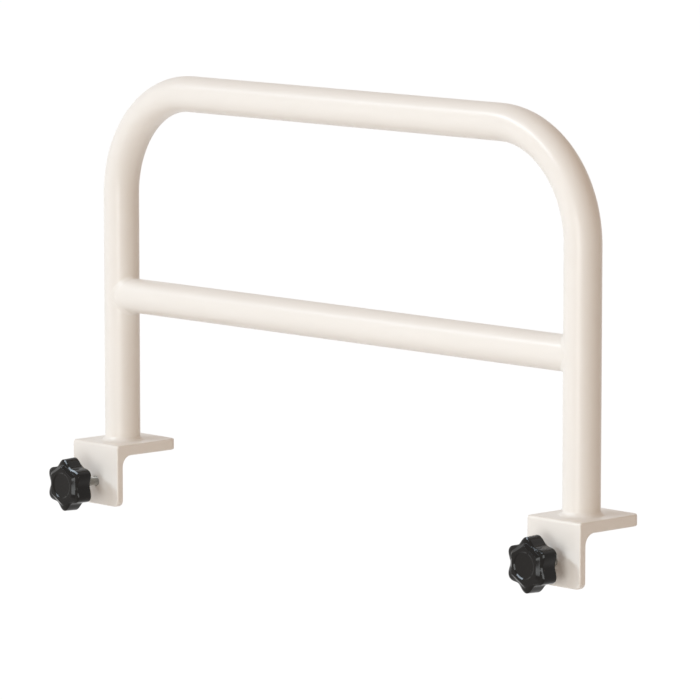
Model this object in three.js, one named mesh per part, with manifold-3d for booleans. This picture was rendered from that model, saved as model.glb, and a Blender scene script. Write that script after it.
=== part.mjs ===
// Bed guard rail: a bent tube hoop with one cross bar, welded to two angle brackets that sit over
// the edge of a bed's side board. A star knob on a screw goes through the flange of each bracket.
// Lengths are in millimetres. X runs along the rail, Y goes from the knobs towards the bed, Z is up.
// The origin is halfway between the brackets, in their inner corner: the side board's top outer edge.
import * as THREE from 'three';
import { mergeVertices } from 'three/addons/utils/BufferGeometryUtils.js';
import Module from 'manifold-3d';

const wasm = await Module();
wasm.setup();

// Hoop and cross bar
const tubeDiameter = 32;
const tubeWall = 1.5;
const legSpacing = 584;
const hoopRise = 320;
const bendRadius = 96;
const crossBarDiameter = 31;
const crossBarWall = 1.5;
const crossBarRise = 133;

// Brackets: a plate under each leg and a flange that hangs down in front of the side board
const bracketWidth = 62;
const plateLength = 72;
const plateThickness = 10;
const plateCornerRadius = 8;
const flangeHeight = 56;
const flangeThickness = 7;
const flangeCornerRadius = 6;
const legSetback = 33;
const rootFilletRadius = 10;
const heelRadius = 3;
const plateNoseRadius = 2.5;
const bracketEdgeRound = 1.2;

// Clamp screws: a hexagon head screw, its head moulded into the knob
const threadDiameter = 8;
const threadPitch = 1.25;
const screwReach = 23;
const screwHeight = 25;
const screwPointChamfer = 1;
const screwHeadAcrossFlats = 13;
const screwHeadThickness = 5.3;
const screwHeadCover = 2;
const screwHeadFlats = 6;

// Star knobs: a round hub towards the flange, a six-lobed head in front of it, and on the head's
// slightly raised face a boss with a shallow dish
const knobDiameter = 48.4;
const knobFrontDiameter = 47;
const knobFluteDepth = 4.9;
const knobLobes = 6;
const knobHeadThickness = 15.2;
const knobFaceRise = 0.7;
const knobRimRound = 0.8;
const knobBackRound = 2.4;
const bossDiameter = 32.4;
const bossHeight = 2.1;
const bossSlope = 2.8;
const bossFluteShare = 0.65;
const bossFootFluteShare = 0.75;
const dishDiameter = 24;
const dishDepth = 0.7;
const dishSlope = 1.4;
const dishFluteShare = 0.35;
const hubDiameter = 18;
const hubLength = 7.5;
const hubFillet = 2;
const hubChamfer = 0.8;

// Washers between the hubs and the flanges
const washerDiameter = 16;
const washerThickness = 1.6;
const washerChamfer = 0.25;

// Weld beads
const legWeldLeg = 4.5;
const crossWeldRadius = 3.4;
const crossWeldSideShare = 0.45;
const crossWeldSetIn = 0.6;

// Turns that each screw still has to go until its washer meets the flange
const turnsLeftToGo = 10;
const turnsRightToGo = 5.5;

// Clearances and the overrun of cuts
const seatGap = 0.3;
const cutOverrun = 20;
const mergeDistance = 0.001;

// Facets
const tubeSides = 36;
const bendSteps = 15;
const smallSides = 28;
const lobeSteps = 12;
const arcSteps = 6;
const easedEdgeSteps = 2;

// Places that follow from the sizes
const tubeRadius = tubeDiameter / 2;
const crossBarRadius = crossBarDiameter / 2;
const plateTop = plateThickness;
const legY = legSetback - flangeThickness;
const hoopTop = plateTop + hoopRise;
const legFoot = plateTop + seatGap;
const crossBarZ = plateTop + crossBarRise;
const flangeFront = -flangeThickness;
const flangeBottom = plateTop - flangeHeight;
const screwHeadDepth = hubLength + screwHeadCover;

// How far the middle of a quarter round stands back from its corner, as a share of the radius
const roundMiddleShare = 1 - Math.SQRT1_2;

const sides = [
  { name: 'left', x: -legSpacing / 2, turnsToGo: turnsLeftToGo },
  { name: 'right', x: legSpacing / 2, turnsToGo: turnsRightToGo },
];

const paint = { color: 0xe9e5de, roughness: 0.32, metalness: 0.0 };
const zinc = { color: 0xb9bbbd, roughness: 0.35, metalness: 0.9 };
const phenolic = { color: 0x141312, roughness: 0.22, metalness: 0.0 };

// From a closed geometry to a solid for cutting and joining, and back
function toSolid(geometry) {
  const bare = geometry.clone();
  bare.deleteAttribute('normal');
  bare.deleteAttribute('uv');
  const merged = mergeVertices(bare, mergeDistance);
  return new wasm.Manifold(new wasm.Mesh({
    numProp: 3,
    vertProperties: new Float32Array(merged.attributes.position.array),
    triVerts: new Uint32Array(merged.index.array),
  }));
}

function toGeometry(solid) {
  const mesh = solid.getMesh();
  const geometry = new THREE.BufferGeometry();
  geometry.setAttribute('position', new THREE.BufferAttribute(mesh.vertProperties, 3));
  geometry.setIndex(new THREE.BufferAttribute(mesh.triVerts, 1));
  geometry.computeVertexNormals();
  return geometry;
}

function circle(radius) {
  return new THREE.Shape().absarc(0, 0, radius, 0, 2 * Math.PI, false);
}

function ring(outerRadius, innerRadius) {
  const shape = circle(outerRadius);
  shape.holes.push(new THREE.Path().absarc(0, 0, innerRadius, 0, 2 * Math.PI, true));
  return shape;
}

// Puts an extrusion, made along Z with its outline in X and Y, onto the axes that it is drawn for
function onAxes(geometry, outlineX, outlineY, depth) {
  return geometry.applyMatrix4(new THREE.Matrix4().makeBasis(outlineX, outlineY, depth));
}

const axisX = new THREE.Vector3(1, 0, 0);
const axisY = new THREE.Vector3(0, 1, 0);
const axisZ = new THREE.Vector3(0, 0, 1);

// Round bar along Z through a leg's place, for the cuts that fit round the leg
function legCutter(x) {
  const height = hoopRise + 2 * cutOverrun;
  const options = { depth: height, bevelEnabled: false, curveSegments: tubeSides / 2 };
  const bar = new THREE.ExtrudeGeometry(circle(tubeRadius + seatGap), options);
  return toSolid(bar.translate(x, legY, plateTop - cutOverrun));
}

// Centreline of the hoop, from the foot of the left leg over both bends to the foot of the right
// one. Its stations are the ends of the straight runs and even steps round each bend.
class HoopCentreline extends THREE.Curve {
  constructor() {
    super();
    this.stations = [];
    const legX = legSpacing / 2;
    const bendX = legX - bendRadius;
    const bendZ = hoopTop - bendRadius;
    this.addStation(-legX, legFoot, 0);
    for (const side of [-1, 1]) {
      for (let step = 0; step <= bendSteps; step++) {
        const turned = (step / bendSteps) * (Math.PI / 2);
        const swing = side < 0 ? turned : Math.PI / 2 - turned;
        const heading = side < 0 ? turned : Math.PI / 2 + turned;
        const x = side * (bendX + bendRadius * Math.cos(swing));
        this.addStation(x, bendZ + bendRadius * Math.sin(swing), heading);
      }
    }
    this.addStation(legX, legFoot, Math.PI);
  }

  // heading is 0 going up, a quarter turn going right and a half turn going down
  addStation(x, z, heading) {
    this.stations.push({
      point: new THREE.Vector3(x, legY, z),
      tangent: new THREE.Vector3(Math.sin(heading), 0, Math.cos(heading)),
    });
  }

  stationAt(share) {
    return this.stations[Math.round(share * (this.stations.length - 1))];
  }

  getPointAt(share, target = new THREE.Vector3()) {
    return target.copy(this.stationAt(share).point);
  }

  getTangentAt(share, target = new THREE.Vector3()) {
    return target.copy(this.stationAt(share).tangent);
  }
}

function railHoop() {
  const centreline = new HoopCentreline();
  return new THREE.ExtrudeGeometry(ring(tubeRadius, tubeRadius - tubeWall), {
    extrudePath: centreline,
    steps: centreline.stations.length - 1,
    curveSegments: tubeSides / 2,
  });
}

// The cross bar runs from leg to leg, and both its ends are coped round the legs
function crossBar() {
  const options = { depth: legSpacing, bevelEnabled: false, curveSegments: tubeSides / 2 };
  const tube = new THREE.ExtrudeGeometry(ring(crossBarRadius, crossBarRadius - crossBarWall), options);
  onAxes(tube, axisY, axisZ, axisX).translate(-legSpacing / 2, legY, crossBarZ);
  let bar = toSolid(tube);
  for (const side of sides) {
    bar = bar.subtract(legCutter(side.x));
  }
  return toGeometry(bar);
}

// Bead round a coped end: a ring turned about the bar's axis, pushed onto the leg's round wall and
// drawn in at the bar's two sides, where the bar runs almost level into the leg
function crossBarWeld(side) {
  const inward = -Math.sign(side.x);
  const section = [];
  for (let step = 0; step <= 2 * arcSteps; step++) {
    const angle = (step / arcSteps) * Math.PI;
    section.push(new THREE.Vector2(
      crossBarRadius + crossWeldRadius * Math.cos(angle),
      crossWeldRadius * Math.sin(angle),
    ));
  }
  const bead = new THREE.LatheGeometry(section, tubeSides);
  const places = bead.attributes.position;
  const place = new THREE.Vector3();
  for (let index = 0; index < places.count; index++) {
    place.fromBufferAttribute(places, index);
    const radius = Math.hypot(place.x, place.z);
    const sideShare = Math.abs(place.x / radius);
    const swell = THREE.MathUtils.lerp(1, crossWeldSideShare, sideShare * sideShare);
    const newRadius = crossBarRadius + (radius - crossBarRadius) * swell;
    const legReach = Math.sqrt(tubeRadius ** 2 - (crossBarRadius * sideShare) ** 2);
    const out = legReach - crossWeldSetIn + place.y * swell;
    places.setXYZ(
      index,
      side.x + inward * out,
      legY - inward * (place.x / radius) * newRadius,
      crossBarZ + (place.z / radius) * newRadius,
    );
  }
  const options = { depth: legSpacing, bevelEnabled: false, curveSegments: tubeSides / 2 };
  const core = new THREE.ExtrudeGeometry(circle(crossBarRadius + seatGap), options);
  onAxes(core, axisY, axisZ, axisX).translate(-legSpacing / 2, legY, crossBarZ);
  return toGeometry(toSolid(bead).subtract(toSolid(core)).subtract(legCutter(side.x)));
}

// Fillet weld round the foot of a leg, with a slightly hollow face
function legWeld(side) {
  const inner = tubeRadius + seatGap;
  const face = [new THREE.Vector2(inner, 0)];
  for (let step = 0; step <= arcSteps; step++) {
    const angle = (step / arcSteps) * (Math.PI / 2);
    face.push(new THREE.Vector2(
      inner + legWeldLeg * (1 - Math.sin(angle)),
      legWeldLeg * (1 - Math.cos(angle)),
    ));
  }
  face.push(new THREE.Vector2(inner, 0));
  const bead = new THREE.LatheGeometry(face, tubeSides);
  return onAxes(bead, axisY, axisZ, axisX).translate(side.x, legY, legFoot);
}

// Profile of the angle, drawn with Y across and Z up: rounded heel, filleted root, rounded nose
function angleProfile() {
  const back = flangeFront + plateLength;
  const profile = new THREE.Shape();
  profile.moveTo(flangeFront, flangeBottom);
  profile.lineTo(0, flangeBottom);
  profile.lineTo(0, -rootFilletRadius);
  profile.absarc(rootFilletRadius, -rootFilletRadius, rootFilletRadius, Math.PI, Math.PI / 2, true);
  profile.lineTo(back - plateNoseRadius, 0);
  profile.absarc(back - plateNoseRadius, plateNoseRadius, plateNoseRadius, -Math.PI / 2, 0, false);
  profile.lineTo(back, plateTop - plateNoseRadius);
  profile.absarc(back - plateNoseRadius, plateTop - plateNoseRadius, plateNoseRadius, 0, Math.PI / 2, false);
  profile.lineTo(flangeFront + heelRadius, plateTop);
  profile.absarc(flangeFront + heelRadius, plateTop - heelRadius, heelRadius, Math.PI / 2, Math.PI, false);
  profile.lineTo(flangeFront, flangeBottom);
  return profile;
}

// Rectangle with one corner radius at its two far corners, from y = near to y = far
function halfRoundedOutline(width, near, far, radius) {
  const reach = width / 2;
  const sign = Math.sign(far - near);
  const outline = new THREE.Shape();
  outline.moveTo(reach, near);
  for (const end of [1, -1]) {
    const start = end > 0 ? 0 : Math.PI / 2;
    for (let step = 0; step <= arcSteps; step++) {
      const angle = start + (step / arcSteps) * (Math.PI / 2);
      const x = end * (reach - radius) + radius * Math.cos(angle);
      outline.lineTo(x, far + sign * radius * (Math.sin(angle) - 1));
    }
  }
  outline.lineTo(-reach, near);
  return outline;
}

// Bracket: the angle profile across its width, cut to its plan with round back corners and to its
// front view with round bottom corners, all with eased edges, and the tapped hole for the screw
function bracket(side) {
  const eased = {
    bevelEnabled: true,
    bevelThickness: bracketEdgeRound,
    bevelSize: bracketEdgeRound,
    bevelOffset: -bracketEdgeRound,
    bevelSegments: easedEdgeSteps,
    curveSegments: arcSteps,
  };
  const height = flangeHeight + cutOverrun;
  const length = plateLength + cutOverrun;
  const back = flangeFront + plateLength;

  const angleWidth = bracketWidth - 2 * bracketEdgeRound;
  const angle = new THREE.ExtrudeGeometry(angleProfile(), { ...eased, depth: angleWidth });
  onAxes(angle, axisY, axisZ, axisX).translate(-angleWidth / 2, 0, 0);

  const plan = halfRoundedOutline(bracketWidth, flangeFront - cutOverrun, back, plateCornerRadius);
  const planBlock = new THREE.ExtrudeGeometry(plan, { ...eased, depth: height });
  planBlock.translate(0, 0, plateTop - bracketEdgeRound - height);

  const front = halfRoundedOutline(bracketWidth, plateTop + cutOverrun, flangeBottom, flangeCornerRadius);
  const frontBlock = new THREE.ExtrudeGeometry(front, { ...eased, depth: length });
  onAxes(frontBlock, axisX, axisZ, axisY.clone().negate());
  frontBlock.translate(0, flangeFront + bracketEdgeRound + length, 0);

  const through = flangeThickness + 2 * cutOverrun;
  const hole = { depth: through, bevelEnabled: false, curveSegments: smallSides / 2 };
  const drill = new THREE.ExtrudeGeometry(circle(threadDiameter / 2 + seatGap), hole);
  onAxes(drill, axisX, axisZ, axisY.clone().negate()).translate(0, cutOverrun, -screwHeight);

  const body = toSolid(angle).intersect(toSolid(planBlock)).intersect(toSolid(frontBlock));
  return toGeometry(body.subtract(toSolid(drill))).translate(side.x, 0, 0);
}

// Turned shape about the screw's axis. Points are given as radius and distance along Y.
function turned(points, segments) {
  return new THREE.LatheGeometry(points.map(([radius, along]) => new THREE.Vector2(radius, along)), segments);
}

// Screw about its own axis, from the head inside the knob to its chamfered point. Zero on Y is the
// back face of the knob's hub. With grow it is the pocket that the knob is moulded with round it.
function screwSolid(grow) {
  const radius = threadDiameter / 2 + grow;
  const chamfer = screwPointChamfer;
  const shank = turned([
    [0, -screwHeadDepth],
    [radius, -screwHeadDepth],
    [radius, screwReach + grow - chamfer],
    [radius - chamfer, screwReach + grow],
    [0, screwReach + grow],
  ], smallSides);
  const headRadius = (screwHeadAcrossFlats / 2 + grow) / Math.cos(Math.PI / screwHeadFlats);
  const head = turned([
    [0, -screwHeadDepth - screwHeadThickness - grow],
    [headRadius, -screwHeadDepth - screwHeadThickness - grow],
    [headRadius, -screwHeadDepth + grow],
    [0, -screwHeadDepth + grow],
  ], screwHeadFlats);
  return toSolid(shank).add(toSolid(head));
}

// Knob about the same axis and zero. Each point is a radius, a distance and how far the flutes
// between the lobes reach at that point, from 0 on the round parts to 1 on the rim.
function knob() {
  const outer = knobDiameter / 2;
  const rim = knobFrontDiameter / 2;
  const hub = hubDiameter / 2;
  const boss = bossDiameter / 2;
  const dish = dishDiameter / 2;
  const headBack = -hubLength;
  const headFront = headBack - knobHeadThickness;
  const bossFoot = headFront - knobFaceRise;
  const bossTop = bossFoot - bossHeight;
  const points = [
    [0, bossTop + dishDepth, 0],
    [dish - dishSlope, bossTop + dishDepth, dishFluteShare],
    [dish, bossTop, dishFluteShare],
    [boss, bossTop, bossFluteShare],
    [boss + bossSlope, bossFoot, bossFootFluteShare],
    [rim - knobRimRound, headFront, 1],
    [rim - knobRimRound * roundMiddleShare, headFront + knobRimRound * roundMiddleShare, 1],
    [rim, headFront + knobRimRound, 1],
    [outer, headBack - knobBackRound, 1],
    [outer - knobBackRound * roundMiddleShare, headBack - knobBackRound * roundMiddleShare, 1],
    [outer - knobBackRound, headBack, 1],
    [hub + hubFillet, headBack, 0],
    [hub, headBack + hubFillet, 0],
    [hub, -hubChamfer, 0],
    [hub - hubChamfer, 0, 0],
    [0, 0, 0],
  ];
  const blank = turned(points, knobLobes * lobeSteps);
  const depthShare = 2 * knobFluteDepth / knobDiameter;
  const places = blank.attributes.position;
  const place = new THREE.Vector3();
  for (let index = 0; index < places.count; index++) {
    place.fromBufferAttribute(places, index);
    const angle = Math.atan2(place.x, place.z);
    const fluteShare = (1 - Math.cos(knobLobes * angle)) / 2;
    const pull = 1 - depthShare * fluteShare * points[index % points.length][2];
    places.setXYZ(index, place.x * pull, place.y, place.z * pull);
  }
  return toGeometry(toSolid(blank).subtract(screwSolid(seatGap)));
}

function washer() {
  const inner = threadDiameter / 2 + seatGap;
  const outer = washerDiameter / 2;
  return turned([
    [inner, -washerThickness],
    [outer - washerChamfer, -washerThickness],
    [outer, washerChamfer - washerThickness],
    [outer, -washerChamfer],
    [outer - washerChamfer, 0],
    [inner, 0],
    [inner, -washerThickness],
  ], smallSides);
}

const rail = new THREE.Group();

function addPiece(name, geometry, finish, parent = rail) {
  const mesh = new THREE.Mesh(geometry, new THREE.MeshStandardMaterial(finish));
  mesh.name = name;
  parent.add(mesh);
}

addPiece('rail_hoop', railHoop(), paint);
addPiece('cross_bar', crossBar(), paint);

for (const side of sides) {
  addPiece(`cross_bar_weld_${side.name}`, crossBarWeld(side), paint);
  addPiece(`leg_weld_${side.name}`, legWeld(side), paint);
  addPiece(`bracket_${side.name}`, bracket(side), paint);

  // Everything on the screw's axis, placed by the hub's back face
  const standOff = seatGap + washerThickness + seatGap + side.turnsToGo * threadPitch;
  const clamp = new THREE.Group();
  clamp.position.set(side.x, flangeFront - standOff, -screwHeight);
  rail.add(clamp);
  addPiece(`knob_${side.name}`, knob(), phenolic, clamp);
  addPiece(`clamp_screw_${side.name}`, toGeometry(screwSolid(0)), zinc, clamp);
  const washerGroup = new THREE.Group();
  washerGroup.position.y = seatGap + washerThickness;
  clamp.add(washerGroup);
  addPiece(`knob_washer_${side.name}`, washer(), zinc, washerGroup);
}

export default rail;
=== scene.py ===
import math

import bmesh
import bpy
from mathutils import Matrix, Vector


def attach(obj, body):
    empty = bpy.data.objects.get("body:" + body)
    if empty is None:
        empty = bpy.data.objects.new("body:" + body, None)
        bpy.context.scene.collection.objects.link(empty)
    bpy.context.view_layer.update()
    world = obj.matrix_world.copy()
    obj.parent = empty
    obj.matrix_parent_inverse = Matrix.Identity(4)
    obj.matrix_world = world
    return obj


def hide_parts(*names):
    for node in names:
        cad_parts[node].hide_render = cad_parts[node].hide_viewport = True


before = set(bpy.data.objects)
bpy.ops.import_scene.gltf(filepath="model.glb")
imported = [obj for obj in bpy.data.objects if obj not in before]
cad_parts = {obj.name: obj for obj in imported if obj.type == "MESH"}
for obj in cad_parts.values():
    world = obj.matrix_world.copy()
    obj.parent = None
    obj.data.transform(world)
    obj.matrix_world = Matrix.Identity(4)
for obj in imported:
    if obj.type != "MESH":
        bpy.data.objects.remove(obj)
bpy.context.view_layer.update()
scene = bpy.context.scene

MM = 0.001
FULL_TURN = 2 * math.pi
UP = Vector((0, 0, 1))
SIDES = {"left": -1, "right": 1}

# Points closer than this are one point, and edges folded more than this show as edges
SAME_POINT = 0.0005
SHARP_DEGREES = 35

# Tubes
TUBE_RADIUS = 16.0
TUBE_WALL = 1.5
TUBE_SIDES = 96
LEG_X = 292.0
LEG_Y = 26.0
LEG_STEPS = 10
HOOP_Z = 330.0
HOOP_TOP_STEPS = 12
BEND_RADIUS = 96.0
BEND_FLATTENING = 0.02
BEND_STEPS = 40
BAR_RADIUS = 15.5
BAR_Z = 143.0
BAR_STEPS = 16
COPE_GAP = 0.02

# Weld beads
BEAD_FACE_STEPS = 10
BEAD_TOE_SINK = 0.03
BEAD_RIPPLE_SWAY = 3
# Height of each wave in a hand-laid bead, how many go round the joint, and how far its seed shifts them
HAND_WAVES = ((0.5, 3, 1.0), (0.3, 7, 2.3), (0.2, 13, 4.1))
BEAD_SHARP_DEGREES = 60

# Brackets
PLATE_TOP = 10.0
PLATE_BACK = 65.0
PLATE_CORNER = 8.0
FLANGE_FRONT = -7.0
FLANGE_BOTTOM = -46.0
FLANGE_CORNER = 6.0
BRACKET_HALF_WIDTH = 31.0
HEEL_RADIUS = 3.0
ROOT_RADIUS = 10.0
EASED_EDGE = 1.4
EASED_DEGREES = 40
# Longer edges than this are the blank's own, and an edge this close to a face's place lies on it
LONG_EDGE = 1.0
CLOSE_TO = 0.01
HOLE_RADIUS = 4.3
HOLE_SIDES = 48
COUNTERSINK = 0.7
CUTTER_OVERRUN = 1

# Knobs, screws and washers, measured along Y from the back face of the knob's hub, which stands off
# from the flange
SCREW_Z = -25.0
STAND_OFF = {"left": 14.7, "right": 9.075}

# Knobs
KNOB_DIAMETER = 48.4
KNOB_FACE = -25.5
KNOB_LOBES = 6
SIDES_PER_LOBE = 32
FLUTE_DEPTH = 4.9
FLUTE_SHARE = 2 * FLUTE_DEPTH / KNOB_DIAMETER
FLANK_SHARE = 0.1
# Up to this share of the flutes the boss has flat sides, which turn into round flutes over the next one
FLAT_SIDED_BELOW = 0.8
FLAT_TO_ROUND = 0.2
# The higher, the sharper are the corners of the boss
HEXAGON_POWER = 24
DISH_FLOOR = -24.7
DISH_FLOOR_RADIUS = 10.55
DISH_RADIUS = 11.85
BOSS_RADIUS = 16.2
BOSS_FOOT_RADIUS = 19.0
BOSS_FOOT = -23.4
CHAMFER_RADIUS = 22.0
CHAMFER_FRONT = -22.95
RIM_RADIUS = 23.5
RIM_FRONT = -22.05
HEAD_BACK = -7.5
HUB_RADIUS = 9.0
HUB_FILLET_RADIUS = 11.2
HUB_FILLET_END = -7.1
HUB_EDGE = -0.4
HUB_FACE_RADIUS = 8.4
RECESS_RADIUS = 4.2
RECESS_FLOOR = -1.0
KNOB_CORE = 0.4

# Screws
SCREW_REACH = 23.0
SCREW_SIDES = 64
SCREW_SHARP_DEGREES = 50
SCREW_CORE = 0.2
THREAD_RADIUS = 3.98
THREAD_PITCH = 1.25
THREAD_DEPTH = 0.72
THREAD_START = -0.9
THREAD_CREST_SHARE = 0.15
THREAD_FLANK_SHARE = 0.72
ROWS_PER_TURN = 12
SHANK_END = -0.95
POINT_LENGTH = 1.1
POINT_RADIUS = 2.9
HEX_HALF_WIDTH = 6.5
HEX_FRONT = -16.0
HEX_BACK = -9.6

# Washers
WASHER_SIDES = 96
WASHER_BORE = 4.3
WASHER_FRONT = 0.3
WASHER_FRONT_RADIUS = 7.9
WASHER_RADIUS = 8.0
WASHER_WIDEST = 1.5
WASHER_BACK = 1.9
WASHER_BACK_RADIUS = 7.8

# Colours
CREAM = (0.84, 0.81, 0.76, 1.0)
BLACK = (0.006, 0.0045, 0.003, 1.0)
ZINC = (0.62, 0.62, 0.63, 1.0)
# Zinc tinted warm as a painted reflection of the cream rail round the screw.
WARM_TINTED_ZINC = (0.60, 0.56, 0.50, 1.0)
FLOOR_GREY = (0.86, 0.86, 0.86, 1.0)

# What the lamps face
RAIL_MIDDLE = Vector((0, 0.03, 0.15))


def place(board, kind, **settings):
    """Puts a node on a board and gives it its settings."""
    node = board.nodes.new(kind)
    for name, value in settings.items():
        setattr(node, name, value)
    return node


def wire(board, start, end):
    board.links.new(start, end)


def effect(name, inputs, outputs):
    """A shader node group with named sockets, and its two end nodes."""
    board = bpy.data.node_groups.new(name, "ShaderNodeTree")
    for label, kind, value in inputs:
        socket = board.interface.new_socket(label, in_out="INPUT", socket_type=kind)
        socket.default_value = value
    for label, kind in outputs:
        board.interface.new_socket(label, in_out="OUTPUT", socket_type=kind)
    return board, board.nodes.new("NodeGroupInput"), board.nodes.new("NodeGroupOutput")


def reckon(board, operation, *values):
    """One arithmetic node on one or two values, each of them a socket or a number."""
    node = place(board, "ShaderNodeMath", operation=operation)
    for socket, value in zip(node.inputs, values):
        if isinstance(value, (int, float)):
            socket.default_value = value
        else:
            wire(board, value, socket)
    return node.outputs["Value"]


def scaled(board, colour, level):
    """A colour made lighter or darker by a level."""
    scale = place(board, "ShaderNodeVectorMath", operation="SCALE")
    wire(board, colour, scale.inputs[0])
    wire(board, level, scale.inputs["Scale"])
    return scale.outputs["Vector"]


def grain(board, size, detail, stretch=None):
    """Noise in the part's own coordinates whose lumps are about size metres across."""
    where = place(board, "ShaderNodeTexCoord").outputs["Object"]
    if stretch:
        mapping = place(board, "ShaderNodeMapping")
        mapping.inputs["Scale"].default_value = stretch
        wire(board, where, mapping.inputs["Vector"])
        where = mapping.outputs["Vector"]
    noise = place(board, "ShaderNodeTexNoise")
    wire(board, where, noise.inputs["Vector"])
    noise.inputs["Detail"].default_value = detail
    wire(board, reckon(board, "DIVIDE", 1.0, size), noise.inputs["Scale"])
    return noise.outputs["Fac"]


def tone_drift_effect():
    """Slow light and dark drift of a finish. Noise swings by about a quarter to each side of a half."""
    noise_middle = 0.5
    full_swing = 4.0
    board, start, end = effect(
        "tone_drift",
        [
            ("Colour", "NodeSocketColor", CREAM),
            ("Drift", "NodeSocketFloat", 0.02),
            ("Size", "NodeSocketFloat", 0.05),
        ],
        [("Colour", "NodeSocketColor")],
    )
    lumps = grain(board, start.outputs["Size"], detail=3.0)
    swing = reckon(board, "SUBTRACT", lumps, noise_middle)
    swing = reckon(board, "MULTIPLY", swing, start.outputs["Drift"])
    level = reckon(board, "ADD", reckon(board, "MULTIPLY", swing, full_swing), 1.0)
    wire(board, scaled(board, start.outputs["Colour"], level), end.inputs["Colour"])
    return board


def skin_ripple_effect():
    """Fine unevenness of a sprayed, moulded or plated skin, coarse swells with finer ones on them."""
    fine_size_share = 0.23
    board, start, end = effect(
        "skin_ripple",
        [("Size", "NodeSocketFloat", 0.0016), ("Fine share", "NodeSocketFloat", 0.3)],
        [("Height", "NodeSocketFloat")],
    )
    size = start.outputs["Size"]
    coarse = grain(board, size, detail=1.0)
    fine = grain(board, reckon(board, "MULTIPLY", size, fine_size_share), detail=2.0)
    fine = reckon(board, "MULTIPLY", fine, start.outputs["Fine share"])
    wire(board, reckon(board, "ADD", coarse, fine), end.inputs["Height"])
    return board


def hairlines_effect():
    """Thin marks that run one way round the part, such as handling scratches or drawn metal."""
    across_stretch = (1.0, 22.0, 1.0)
    along_stretch = (1.0, 1.0, 17.0)
    mark_begins = 0.62
    mark_is_full = 0.76
    board, start, end = effect(
        "hairlines",
        [
            ("Size", "NodeSocketFloat", 0.004),
            ("Amount", "NodeSocketFloat", 0.3),
        ],
        [("Mask", "NodeSocketFloat")],
    )
    size = start.outputs["Size"]
    across = grain(board, size, detail=2.0, stretch=across_stretch)
    along = grain(board, size, detail=2.0, stretch=along_stretch)
    marks = reckon(board, "MAXIMUM", across, along)
    sharp = place(board, "ShaderNodeMapRange", interpolation_type="SMOOTHSTEP")
    sharp.inputs["From Min"].default_value = mark_begins
    sharp.inputs["From Max"].default_value = mark_is_full
    wire(board, marks, sharp.inputs["Value"])
    mask = reckon(board, "MULTIPLY", sharp.outputs["Result"], start.outputs["Amount"])
    wire(board, mask, end.inputs["Mask"])
    return board


def painted_root_shade_effect():
    """Painted shade: darkens a screw's colour towards the roots of its thread, where shade falls."""
    board, start, end = effect(
        "painted_root_shade",
        [
            ("Colour", "NodeSocketColor", WARM_TINTED_ZINC),
            ("Darkest", "NodeSocketFloat", 0.2),
            ("Root radius", "NodeSocketFloat", (THREAD_RADIUS - THREAD_DEPTH) * MM),
            ("Crest radius", "NodeSocketFloat", THREAD_RADIUS * MM),
        ],
        [("Colour", "NodeSocketColor")],
    )
    spot = place(board, "ShaderNodeSeparateXYZ")
    wire(board, place(board, "ShaderNodeTexCoord").outputs["Object"], spot.inputs["Vector"])
    beside = reckon(board, "SUBTRACT", reckon(board, "ABSOLUTE", spot.outputs["X"]), LEG_X * MM)
    above = reckon(board, "SUBTRACT", spot.outputs["Z"], SCREW_Z * MM)
    squares = reckon(board, "ADD", reckon(board, "POWER", beside, 2.0), reckon(board, "POWER", above, 2.0))
    depth = place(board, "ShaderNodeMapRange")
    wire(board, reckon(board, "SQRT", squares), depth.inputs["Value"])
    wire(board, start.outputs["Root radius"], depth.inputs["From Min"])
    wire(board, start.outputs["Crest radius"], depth.inputs["From Max"])
    wire(board, start.outputs["Darkest"], depth.inputs["To Min"])
    wire(board, scaled(board, start.outputs["Colour"], depth.outputs["Result"]), end.inputs["Colour"])
    return board


TONE_DRIFT = tone_drift_effect()
PAINTED_ROOT_SHADE = painted_root_shade_effect()
SKIN_RIPPLE = skin_ripple_effect()
HAIRLINES = hairlines_effect()


def use(board, effect_board, **values):
    """Places an effect in a material with its own values, named as the sockets with _ for a space."""
    node = place(board, "ShaderNodeGroup", node_tree=effect_board)
    for name, value in values.items():
        node.inputs[name.replace("_", " ")].default_value = value
    return node.outputs[0]


def finish(name, colour, drift, drift_size, roughness, rougher, ripple, ripple_height,
           mark_size, mark_amount, metallic=0.0, gloss=0.5, threaded=False):
    """A skin with drifting tone, a roughness that changes in patches and with hairlines, and ripples."""
    patch_size_share = 0.2
    patch_middle = 0.7
    material = bpy.data.materials.new(name)
    material.use_nodes = True
    board = material.node_tree
    shader = board.nodes["Principled BSDF"]
    shader.inputs["Metallic"].default_value = metallic
    shader.inputs["Specular IOR Level"].default_value = gloss
    tone = use(board, TONE_DRIFT, Colour=colour, Drift=drift, Size=drift_size)
    # Painted shade: the screw's colour darkens towards its thread roots.
    if threaded:
        root_shade_node = place(board, "ShaderNodeGroup", node_tree=PAINTED_ROOT_SHADE)
        wire(board, tone, root_shade_node.inputs["Colour"])
        tone = root_shade_node.outputs["Colour"]
    wire(board, tone, shader.inputs["Base Color"])

    patches = use(board, SKIN_RIPPLE, Size=drift_size * patch_size_share, Fine_share=0.5)
    swing = reckon(board, "MULTIPLY", reckon(board, "SUBTRACT", patches, patch_middle), rougher)
    scratches = use(board, HAIRLINES, Size=mark_size, Amount=mark_amount)
    level = reckon(board, "ADD", reckon(board, "ADD", swing, roughness), scratches)
    wire(board, level, shader.inputs["Roughness"])

    bump = place(board, "ShaderNodeBump")
    bump.inputs["Strength"].default_value = 1.0
    bump.inputs["Distance"].default_value = ripple_height
    wire(board, use(board, SKIN_RIPPLE, Size=ripple, Fine_share=0.3), bump.inputs["Height"])
    wire(board, bump.outputs["Normal"], shader.inputs["Normal"])
    return material


def zinc_plating(name, colour, roughness, threaded):
    """Zinc plated steel, marked by handling. Threaded, it also gets painted shade in its thread roots."""
    return finish(
        name, colour, drift=0.05, drift_size=0.003, roughness=roughness, rougher=0.12,
        ripple=0.0005, ripple_height=0.000006, mark_size=0.002, mark_amount=0.18,
        metallic=1.0, threaded=threaded,
    )


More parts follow.
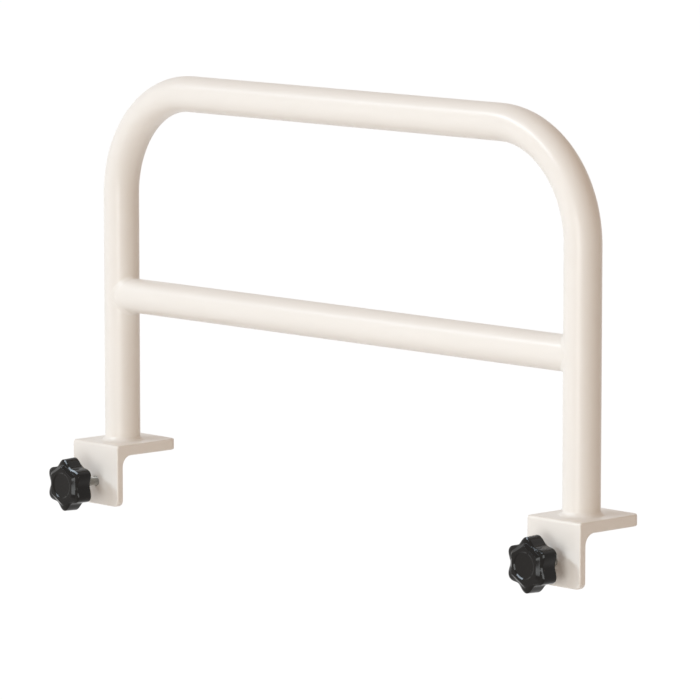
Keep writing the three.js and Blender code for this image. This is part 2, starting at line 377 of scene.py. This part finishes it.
POWDER_COAT = finish(
    "cream_powder_coat", CREAM, drift=0.006, drift_size=0.05, roughness=0.30, rougher=0.06,
    ripple=0.0017, ripple_height=0.000012, mark_size=0.02, mark_amount=0.02, gloss=0.38,
)
WELD_COAT = finish(
    "cream_powder_coat_on_weld", CREAM, drift=0.012, drift_size=0.01, roughness=0.33, rougher=0.08,
    ripple=0.0011, ripple_height=0.00005, mark_size=0.02, mark_amount=0.0,
)
PHENOLIC = finish(
    "black_phenolic", BLACK, drift=0.12, drift_size=0.012, roughness=0.09, rougher=0.03,
    ripple=0.0014, ripple_height=0.0000006, mark_size=0.006, mark_amount=0.06, gloss=0.2,
)
WASHER_ZINC = zinc_plating("zinc_plated_steel", ZINC, roughness=0.27, threaded=False)
SCREW_ZINC = zinc_plating("zinc_plated_thread", WARM_TINTED_ZINC, roughness=0.58, threaded=True)


def fit_out(piece, node, body, material):
    """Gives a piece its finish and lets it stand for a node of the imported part."""
    piece.data.materials.append(material)
    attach(piece, body)
    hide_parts(node)


def shade(mesh, sharp_degrees=SHARP_DEGREES):
    """Shades a mesh smooth but for its sharp edges."""
    mesh.shade_smooth()
    mesh.set_sharp_from_angle(angle=math.radians(sharp_degrees))


def piece_from(bm, name, sharp_degrees=SHARP_DEGREES):
    """A piece from a bmesh, brought from millimetres to metres."""
    bmesh.ops.remove_doubles(bm, verts=bm.verts, dist=SAME_POINT)
    bmesh.ops.recalc_face_normals(bm, faces=bm.faces)
    bmesh.ops.scale(bm, vec=(MM, MM, MM), verts=bm.verts)
    mesh = bpy.data.meshes.new(name)
    bm.to_mesh(mesh)
    bm.free()
    shade(mesh, sharp_degrees)
    piece = bpy.data.objects.new(name, mesh)
    scene.collection.objects.link(piece)
    return piece


def skin(rings, joined=False):
    """Quads from ring to ring, with flat ends, or with the last ring joined to the first."""
    bm = bmesh.new()
    rows = [[bm.verts.new(point) for point in ring] for ring in rings]
    pairs = list(zip(rows, rows[1:]))
    if joined:
        pairs.append((rows[-1], rows[0]))
    else:
        bm.faces.new(rows[0])
        bm.faces.new(rows[-1])
    for row, following in pairs:
        for index in range(len(row)):
            nearby = index - 1
            bm.faces.new((row[nearby], row[index], following[index], following[nearby]))
    bmesh.ops.recalc_face_normals(bm, faces=bm.faces)
    return bm


def rounded(corners, steps):
    """Profile with its corners eased.

    A corner is (radius, along, share, ease), and a point of the profile is (radius, along, share).
    """
    points = [Vector(corner[:3]) for corner in corners]
    outline = [points[0]]
    for index in range(1, len(points) - 1):
        before, corner, after = points[index - 1 : index + 2]
        ease = corners[index][3]
        if not ease:
            outline.append(corner)
            continue
        start = corner + (before - corner) * min(0.5, ease / (before - corner).xy.length)
        end = corner + (after - corner) * min(0.5, ease / (after - corner).xy.length)
        for step in range(steps + 1):
            share = step / steps
            outline.append(start.lerp(corner, share).lerp(corner.lerp(end, share), share))
    outline.append(points[-1])
    return outline


def turned(profile, sides, radius_at=None):
    """Rings about the Y axis from (radius, along, share) points. radius_at may change a radius by angle."""
    rings = []
    for radius, along, share in profile:
        ring = []
        for side in range(sides):
            angle = FULL_TURN * side / sides
            reach = radius_at(radius, along, share, angle) if radius_at else radius
            ring.append((reach * math.sin(angle), along, reach * math.cos(angle)))
        rings.append(ring)
    return rings


# Hoop: one tube from foot to foot, slightly flattened in its bends as a drawn bend is
def hoop_stations():
    """Place, heading and flattening at each step along the centreline of the hoop."""
    bend_x = LEG_X - BEND_RADIUS
    bend_z = HOOP_Z - BEND_RADIUS
    level = math.pi / 2
    stations = []
    for step in range(LEG_STEPS):
        z = PLATE_TOP + (bend_z - PLATE_TOP) * step / LEG_STEPS
        stations.append((-LEG_X, z, 0.0, 0.0))
    for step in range(BEND_STEPS + 1):
        turn = level * step / BEND_STEPS
        x = -bend_x - BEND_RADIUS * math.cos(turn)
        z = bend_z + BEND_RADIUS * math.sin(turn)
        flat = max(0.0, math.sin(2 * turn)) ** 0.5
        stations.append((x, z, turn, flat))
    for step in range(1, HOOP_TOP_STEPS // 2):
        x = -bend_x + 2 * bend_x * step / HOOP_TOP_STEPS
        stations.append((x, HOOP_Z, level, 0.0))
    right_half = [(-x, z, math.pi - turn, flat) for x, z, turn, flat in reversed(stations)]
    return stations + [(0.0, HOOP_Z, level, 0.0)] + right_half


def hoop_ring(station, radius):
    x, z, turn, flat = station
    across = Vector((math.cos(turn), 0, -math.sin(turn)))
    tall = radius * (1 - BEND_FLATTENING * flat)
    wide = radius * (1 + BEND_FLATTENING * flat / 2)
    centre = Vector((x, LEG_Y, z))
    ring = []
    for side in range(TUBE_SIDES):
        angle = FULL_TURN * side / TUBE_SIDES
        ring.append(centre + across * tall * math.cos(angle) + Vector((0, wide * math.sin(angle), 0)))
    return ring


def rail_hoop():
    stations = hoop_stations()
    outside = [hoop_ring(station, TUBE_RADIUS) for station in stations]
    inside = [hoop_ring(station, TUBE_RADIUS - TUBE_WALL) for station in reversed(stations)]
    hoop = piece_from(skin(outside + inside, joined=True), "hoop_tube")
    fit_out(hoop, "rail_hoop", "rail", POWDER_COAT)


# Cross bar, coped to the legs
def coped_ring(radius, share):
    """share runs from -1 at the left leg to 1 at the right leg."""
    ring = []
    for side in range(TUBE_SIDES):
        angle = FULL_TURN * side / TUBE_SIDES
        y = radius * math.cos(angle)
        reach = LEG_X - math.sqrt(TUBE_RADIUS ** 2 - y ** 2) - COPE_GAP
        ring.append(Vector((share * reach, LEG_Y + y, BAR_Z + radius * math.sin(angle))))
    return ring


def cross_bar():
    shares = [-1 + 2 * step / BAR_STEPS for step in range(BAR_STEPS + 1)]
    outside = [coped_ring(BAR_RADIUS, share) for share in shares]
    inside = [coped_ring(BAR_RADIUS - TUBE_WALL, share) for share in reversed(shares)]
    bar = piece_from(skin(outside + inside, joined=True), "cross_tube")
    fit_out(bar, "cross_bar", "rail", POWDER_COAT)


# Weld beads, laid by hand and then coated
def wobble(angle, seed):
    """Slow, repeatable unevenness of a hand-laid bead, from about -1 to 1."""
    return sum(height * math.sin(count * angle + shift * seed) for height, count, shift in HAND_WAVES)


def bead_section(toe_one, toe_two, root, crown):
    """Closed outline of a bead between two toes, its face drawn through crown, its back at root."""
    face = []
    for step in range(BEAD_FACE_STEPS + 1):
        share = step / BEAD_FACE_STEPS
        face.append(toe_one.lerp(crown, share).lerp(crown.lerp(toe_two, share), share))
    return face + [root]


def saddle_bead(side):
    """Bead round the end of the cross bar, larger and flatter above and below, where the joint is square."""
    slices = 240
    ripples = 62
    size_beside = 1.9
    larger_above = 0.9
    size_wobble = 0.15
    size_ripple = 0.02
    bulge_beside = 0.55
    flatter_above = 0.25
    bulge_ripple = 0.03
    crown_share = 0.55
    root_depth = 0.6
    sign = SIDES[side]
    inward = -sign
    leg_x = sign * LEG_X
    sections = []
    for step in range(slices):
        angle = FULL_TURN * step / slices
        y = BAR_RADIUS * math.cos(angle)
        z = BAR_RADIUS * math.sin(angle)
        reach = math.sqrt(TUBE_RADIUS ** 2 - y ** 2)
        seam = Vector((leg_x + inward * reach, LEG_Y + y, BAR_Z + z))
        leg_out = Vector((inward * reach, y, 0)) / TUBE_RADIUS
        bar_out = Vector((0, y, z)) / BAR_RADIUS
        run = Vector((inward * y * z / reach, -z, y)).normalized()
        up_leg = run.cross(leg_out)
        up_leg *= math.copysign(1, up_leg.dot(bar_out))
        along_bar = run.cross(bar_out)
        along_bar *= math.copysign(1, along_bar.dot(leg_out))
        square = abs(math.sin(angle))
        ripple = math.sin(ripples * angle + BEAD_RIPPLE_SWAY * wobble(angle, sign))
        size = size_beside + larger_above * square
        size = size + size_wobble * wobble(angle, 2 + sign) + size_ripple * ripple
        bulge = bulge_beside - flatter_above * square + bulge_ripple * ripple

        on_leg = seam + up_leg * size
        flat = Vector((on_leg.x - leg_x, on_leg.y - LEG_Y, 0)).normalized() * (TUBE_RADIUS - BEAD_TOE_SINK)
        on_leg = Vector((leg_x + flat.x, LEG_Y + flat.y, on_leg.z))
        on_bar = seam + along_bar * size
        flat = Vector((0, on_bar.y - LEG_Y, on_bar.z - BAR_Z)).normalized() * (BAR_RADIUS - BEAD_TOE_SINK)
        on_bar = Vector((on_bar.x, LEG_Y + flat.y, BAR_Z + flat.z))
        out = (leg_out + bar_out).normalized()
        crown = seam.lerp((on_leg + on_bar) / 2, crown_share) + out * bulge
        sections.append(bead_section(on_leg, on_bar, seam - out * root_depth, crown))
    bead = piece_from(skin(sections, joined=True), "saddle_bead_" + side, BEAD_SHARP_DEGREES)
    fit_out(bead, "cross_bar_weld_" + side, "rail", WELD_COAT)


def foot_bead(side):
    """Fillet bead round the foot of a leg."""
    slices = 264
    ripples = 50
    even_size = 3.5
    size_wobble = 0.2
    size_ripple = 0.03
    crown_ripple = 0.035
    crown_share = 0.5
    root_depth = 0.5
    sign = SIDES[side]
    foot = Vector((sign * LEG_X, LEG_Y, PLATE_TOP))
    sections = []
    for step in range(slices):
        angle = FULL_TURN * step / slices
        out = Vector((math.cos(angle), math.sin(angle), 0))
        ripple = math.sin(ripples * angle + BEAD_RIPPLE_SWAY * wobble(angle, 5 * sign))
        size = even_size + size_wobble * wobble(angle, 3 + sign) + size_ripple * ripple
        seam = foot + out * TUBE_RADIUS
        on_leg = foot + out * (TUBE_RADIUS - BEAD_TOE_SINK) + UP * size
        on_plate = foot + out * (TUBE_RADIUS + size) - UP * BEAD_TOE_SINK
        crown = seam.lerp((on_leg + on_plate) / 2, crown_share) + (out + UP) * (crown_ripple * ripple)
        root = seam - out * root_depth - UP * root_depth
        sections.append(bead_section(on_leg, on_plate, root, crown))
    bead = piece_from(skin(sections, joined=True), "foot_bead_" + side, BEAD_SHARP_DEGREES)
    fit_out(bead, "leg_weld_" + side, "rail", WELD_COAT)


# Bracket: a thick angle with a filleted root, round plate and flange corners, and eased edges
def edges_where(bm, test):
    return [edge for edge in bm.edges if test(edge.verts[0].co, edge.verts[1].co)]


def ease(bm, edges, radius, segments):
    bmesh.ops.bevel(
        bm, geom=edges, offset=radius, offset_type="OFFSET", segments=segments, profile=0.5,
        affect="EDGES", clamp_overlap=False,
    )


def bracket_blank(centre_x):
    """The angle before its hole is made."""
    profile = [
        (FLANGE_FRONT, FLANGE_BOTTOM),
        (0, FLANGE_BOTTOM),
        (0, 0),
        (PLATE_BACK, 0),
        (PLATE_BACK, PLATE_TOP),
        (FLANGE_FRONT, PLATE_TOP),
    ]
    ends = [[(centre_x + sign * BRACKET_HALF_WIDTH, y, z) for y, z in profile] for sign in (-1, 1)]
    bm = skin(ends)

    def across_at(y, z):
        return lambda a, b: abs(a.x - b.x) > LONG_EDGE and (a.y, a.z) == (y, z) == (b.y, b.z)

    def upright_at_back(a, b):
        return abs(a.z - b.z) > LONG_EDGE and min(a.y, b.y) > PLATE_BACK - CLOSE_TO

    def fore_and_aft_at_bottom(a, b):
        return abs(a.y - b.y) > LONG_EDGE and max(a.z, b.z) < FLANGE_BOTTOM + CLOSE_TO

    ease(bm, edges_where(bm, across_at(0, 0)), ROOT_RADIUS, segments=16)
    ease(bm, edges_where(bm, across_at(FLANGE_FRONT, PLATE_TOP)), HEEL_RADIUS, segments=8)
    ease(bm, edges_where(bm, upright_at_back), PLATE_CORNER, segments=14)
    ease(bm, edges_where(bm, fore_and_aft_at_bottom), FLANGE_CORNER, segments=12)
    bm.normal_update()
    corners = [edge for edge in bm.edges if edge.calc_face_angle(0) > math.radians(EASED_DEGREES)]
    ease(bm, corners, EASED_EDGE, segments=4)
    return bm


def hole_cutter(centre_x):
    """Round hole through the flange with both its mouths countersunk."""
    mouth_radius = HOLE_RADIUS + COUNTERSINK + CUTTER_OVERRUN
    profile = [
        (mouth_radius, FLANGE_FRONT - CUTTER_OVERRUN, 0),
        (HOLE_RADIUS, FLANGE_FRONT + COUNTERSINK, 0),
        (HOLE_RADIUS, -COUNTERSINK, 0),
        (mouth_radius, CUTTER_OVERRUN, 0),
    ]
    bm = skin(turned(profile, HOLE_SIDES))
    bmesh.ops.translate(bm, verts=bm.verts, vec=(centre_x, 0, SCREW_Z))
    return piece_from(bm, "hole_cutter")


def bracket(side):
    centre_x = SIDES[side] * LEG_X
    angle = piece_from(bracket_blank(centre_x), "angle_bracket_" + side)
    cutter = hole_cutter(centre_x)
    cut = angle.modifiers.new("hole", "BOOLEAN")
    cut.operation = "DIFFERENCE"
    cut.solver = "EXACT"
    cut.object = cutter
    bpy.context.view_layer.update()
    bored = bpy.data.meshes.new_from_object(angle.evaluated_get(bpy.context.evaluated_depsgraph_get()))
    angle.modifiers.clear()
    angle.data = bored
    bpy.data.objects.remove(cutter)
    bored.materials.clear()
    shade(bored)
    weigh = angle.modifiers.new("flat_faces", "WEIGHTED_NORMAL")
    weigh.keep_sharp = True
    fit_out(angle, "bracket_" + side, "rail", POWDER_COAT)


def seat(bm, side):
    """Moves a turned piece to where the knob's hub ends on its side's clamp screw."""
    hub_end = (SIDES[side] * LEG_X, FLANGE_FRONT - STAND_OFF[side], SCREW_Z)
    bmesh.ops.translate(bm, verts=bm.verts, vec=hub_end)


# Knob: six lobes with flutes between them, a dished boss on its face, a drafted side and a round hub.
# A corner is a radius, a distance, how far the flutes reach there and how much the corner is eased.
KNOB_PROFILE = [
    (KNOB_CORE, DISH_FLOOR, 0.0, 0),
    (DISH_FLOOR_RADIUS, DISH_FLOOR, 0.0, 0.2),
    (DISH_RADIUS, KNOB_FACE, 0.0, 0.1),
    (BOSS_RADIUS, KNOB_FACE, 0.62, 0.1),
    (BOSS_FOOT_RADIUS, BOSS_FOOT, 0.54, 0.2),
    (CHAMFER_RADIUS, CHAMFER_FRONT, 1.068, 0.12),
    (RIM_RADIUS, RIM_FRONT, 1.0, 0.2),
    (KNOB_DIAMETER / 2, HEAD_BACK, 1.0, 2.4),
    (HUB_FILLET_RADIUS, HEAD_BACK, 0.0, 2.0),
    (HUB_RADIUS, HUB_FILLET_END, 0.0, 2.2),
    (HUB_RADIUS, HUB_EDGE, 0.0, 0.8),
    (HUB_FACE_RADIUS, 0.0, 0.0, 0.5),
    (RECESS_RADIUS, 0.0, 0.0, 0),
    (RECESS_RADIUS, RECESS_FLOOR, 0.0, 0),
    (KNOB_CORE, RECESS_FLOOR, 0.0, 0),
]


def six_sided(angle):
    """Reach of a hexagon with rounded corners on the lobes, from 1 at the middle of a side."""
    faces = [abs(math.cos(angle - math.radians(30 + 60 * face))) ** HEXAGON_POWER for face in range(3)]
    return sum(faces) ** (-1 / HEXAGON_POWER)


def fluted(radius, along, share, angle):
    """Round flutes at the rim, where share is 1, and the flat sides of a hexagon on the boss.

    A share above 1 also draws in the flanks of the lobes, so that the chamfer is about as wide there.
    """
    round_flute = (1 - math.cos(KNOB_LOBES * angle)) / 2
    flat_side = (six_sided(0) - six_sided(angle)) / (six_sided(0) - 1)
    roundness = min(1.0, max(0.0, (share - FLAT_SIDED_BELOW) / FLAT_TO_ROUND))
    flute = FLUTE_SHARE * share * (flat_side + (round_flute - flat_side) * roundness)
    flank = FLANK_SHARE * max(0.0, share - 1) * math.sin(KNOB_LOBES * angle) ** 2
    return radius * (1 - flute - flank)


def knob(side):
    bm = skin(turned(rounded(KNOB_PROFILE, steps=8), KNOB_LOBES * SIDES_PER_LOBE, fluted))
    seat(bm, side)
    star = piece_from(bm, "star_knob_" + side)
    fit_out(star, "knob_" + side, side + "_clamp", PHENOLIC)


# Screw with a true helical thread, a chamfered point and a six-sided head moulded into the knob
def thread_radius(radius, along, share, angle):
    """share is how deep the thread is cut here, from 0 to 1."""
    turn = (along / THREAD_PITCH - angle / FULL_TURN) % 1.0
    from_crest = abs(turn - 0.5) * 2
    flank = min(1.0, max(0.0, (from_crest - THREAD_CREST_SHARE) / THREAD_FLANK_SHARE))
    return min(radius, THREAD_RADIUS) - THREAD_DEPTH * share * flank * min(1.0, radius / THREAD_RADIUS)


def six_sided_ring(ring):
    """A ring drawn out to the flats of the screw's head."""
    flats = []
    for x, y, z in ring:
        turn = math.atan2(x, z) % (math.pi / 3) - math.pi / 6
        reach = HEX_HALF_WIDTH / math.cos(turn) / math.hypot(x, z)
        flats.append((x * reach, y, z * reach))
    return flats


def clamp_screw(side):
    thread_length = SCREW_REACH - THREAD_START
    count = round(thread_length / THREAD_PITCH * ROWS_PER_TURN)
    profile = [
        (SCREW_CORE, HEX_FRONT, 0),
        (THREAD_RADIUS, HEX_FRONT, 0),
        (THREAD_RADIUS, HEX_BACK, 0),
        (THREAD_RADIUS, HEX_BACK, 0),
        (THREAD_RADIUS, SHANK_END, 0),
    ]
    for row in range(1, count):
        along = THREAD_START + thread_length * row / count
        taper = min(0.0, SCREW_REACH - POINT_LENGTH - along)
        profile.append((THREAD_RADIUS + taper, along, min(1.0, row / ROWS_PER_TURN)))
    profile.append((POINT_RADIUS, SCREW_REACH, 0.0))
    profile.append((SCREW_CORE, SCREW_REACH, 0.0))
    rings = turned(profile, SCREW_SIDES, thread_radius)
    # The second and the third ring are the ends of the head
    rings[1:3] = [six_sided_ring(ring) for ring in rings[1:3]]
    bm = skin(rings)
    seat(bm, side)
    screw = piece_from(bm, "threaded_stud_" + side, SCREW_SHARP_DEGREES)
    fit_out(screw, "clamp_screw_" + side, side + "_clamp", SCREW_ZINC)


# Washer, its outer edge rolled over on one side by the punch
def washer(side):
    corners = [
        (WASHER_BORE, WASHER_FRONT, 0, 0),
        (WASHER_FRONT_RADIUS, WASHER_FRONT, 0, 0.35),
        (WASHER_RADIUS, WASHER_WIDEST, 0, 0.1),
        (WASHER_BACK_RADIUS, WASHER_BACK, 0, 0.1),
        (WASHER_BORE, WASHER_BACK, 0, 0),
    ]
    bm = skin(turned(rounded(corners, steps=4), WASHER_SIDES), joined=True)
    seat(bm, side)
    ring = piece_from(bm, "flat_washer_" + side)
    fit_out(ring, "knob_washer_" + side, side + "_washer", WASHER_ZINC)


rail_hoop()
cross_bar()
for side in SIDES:
    saddle_bead(side)
    foot_bead(side)
    bracket(side)
    knob(side)
    clamp_screw(side)
    washer(side)


def seen_directly(board):
    """1 for rays from the camera and for mirrored and refracted ones, 0 for the rest."""
    path = place(board, "ShaderNodeLightPath")
    mirrored = reckon(board, "MAXIMUM", path.outputs["Is Glossy Ray"], path.outputs["Is Transmission Ray"])
    return reckon(board, "MAXIMUM", path.outputs["Is Camera Ray"], mirrored)


def pale_floor():
    """Pale floor well below the rail, as if it stood at the height of a bed's side board."""
    height = -1.0
    reach = 40.0
    white_strength = 1.06
    white_share = 0.94
    mesh = bpy.data.meshes.new("floor")
    around = ((-1, -1), (1, -1), (1, 1), (-1, 1))
    mesh.from_pydata([(x * reach, y * reach, height) for x, y in around], [], [(0, 1, 2, 3)])
    floor = bpy.data.objects.new("floor", mesh)
    scene.collection.objects.link(floor)

    material = bpy.data.materials.new("pale_floor")
    material.use_nodes = True
    board = material.node_tree
    board.nodes.remove(board.nodes["Principled BSDF"])
    matt = place(board, "ShaderNodeBsdfDiffuse")
    tone = use(board, TONE_DRIFT, Colour=FLOOR_GREY, Drift=0.004, Size=0.4)
    wire(board, tone, matt.inputs["Color"])
    white = place(board, "ShaderNodeEmission")
    white.inputs["Strength"].default_value = white_strength
    blend = place(board, "ShaderNodeMixShader")
    wire(board, reckon(board, "MULTIPLY", seen_directly(board), white_share), blend.inputs["Fac"])
    wire(board, matt.outputs["BSDF"], blend.inputs[1])
    wire(board, white.outputs["Emission"], blend.inputs[2])
    wire(board, blend.outputs["Shader"], board.nodes["Material Output"].inputs["Surface"])
    mesh.materials.append(material)


def heading(azimuth, elevation):
    """Unit vector from the object towards a place seen at these angles, azimuth 0 being its front."""
    turn = math.radians(azimuth)
    lift = math.radians(elevation)
    return Vector((math.sin(turn) * math.cos(lift), -math.cos(turn) * math.cos(lift), math.sin(lift)))


def room_light(colour):
    """Even light from all round, behind a white backdrop."""
    world = bpy.data.worlds.new("room")
    scene.world = world
    world.use_nodes = True
    board = world.node_tree
    soft = board.nodes["Background"]
    soft.inputs["Color"].default_value = (*colour, 1)
    white = place(board, "ShaderNodeBackground")
    white.inputs["Color"].default_value = (1, 1, 1, 1)
    white.inputs["Strength"].default_value = 1.0
    blend = place(board, "ShaderNodeMixShader")
    wire(board, seen_directly(board), blend.inputs["Fac"])
    wire(board, soft.outputs["Background"], blend.inputs[1])
    wire(board, white.outputs["Background"], blend.inputs[2])
    wire(board, blend.outputs["Shader"], board.nodes["World Output"].inputs["Surface"])


def lamp(name, azimuth, elevation, distance, width, height, level, colour, roll=0.0):
    """Soft lamp that faces the rail. level is how bright it makes a white surface that faces it."""
    light = bpy.data.lights.new(name, "AREA")
    light.shape = "RECTANGLE"
    light.size = width
    light.size_y = height
    light.energy = level * math.pi ** 2 * distance ** 2
    light.color = colour
    holder = bpy.data.objects.new(name, light)
    towards = heading(azimuth, elevation)
    turn = towards.to_track_quat("Z", "Y").to_matrix().to_4x4() @ Matrix.Rotation(math.radians(roll), 4, "Z")
    holder.matrix_world = Matrix.Translation(RAIL_MIDDLE + towards * distance) @ turn
    scene.collection.objects.link(holder)


def photo_camera(azimuth, elevation, lens, distance, right, up, aim):
    """Camera at the photograph's viewing angle."""
    back = heading(azimuth, elevation)
    side = Vector((math.cos(math.radians(azimuth)), math.sin(math.radians(azimuth)), 0))
    top = back.cross(side)
    data = bpy.data.cameras.new("photo_camera")
    data.lens = lens
    data.clip_end = 200
    camera = bpy.data.objects.new("photo_camera", data)
    turn = Matrix((side, top, back)).transposed().to_4x4()
    stands_at = Vector(aim) + back * distance + side * right + top * up
    camera.matrix_world = Matrix.Translation(stands_at * MM) @ turn
    scene.collection.objects.link(camera)
    scene.camera = camera


pale_floor()
room_light(colour=(0.422, 0.307, 0.222))
lamp("window_lamp", azimuth=-28.5, elevation=35.6, distance=12, width=10.4, height=1.15, level=0.505,
     colour=(0.85, 1.0, 1.14), roll=-9)
lamp("front_lamp", azimuth=24, elevation=0, distance=5, width=1.9, height=2.1, level=0.32,
     colour=(0.96, 1.0, 1.01))
lamp("back_lamp", azimuth=155, elevation=45, distance=4, width=2.6, height=1.8, level=0.03,
     colour=(1.0, 0.95, 0.9))
photo_camera(
    azimuth=46.99, elevation=7.45, lens=266.66, distance=4505.21, right=7.49, up=108.65, aim=(0, 26, 10),
)
scene.view_settings.view_transform = "Standard"
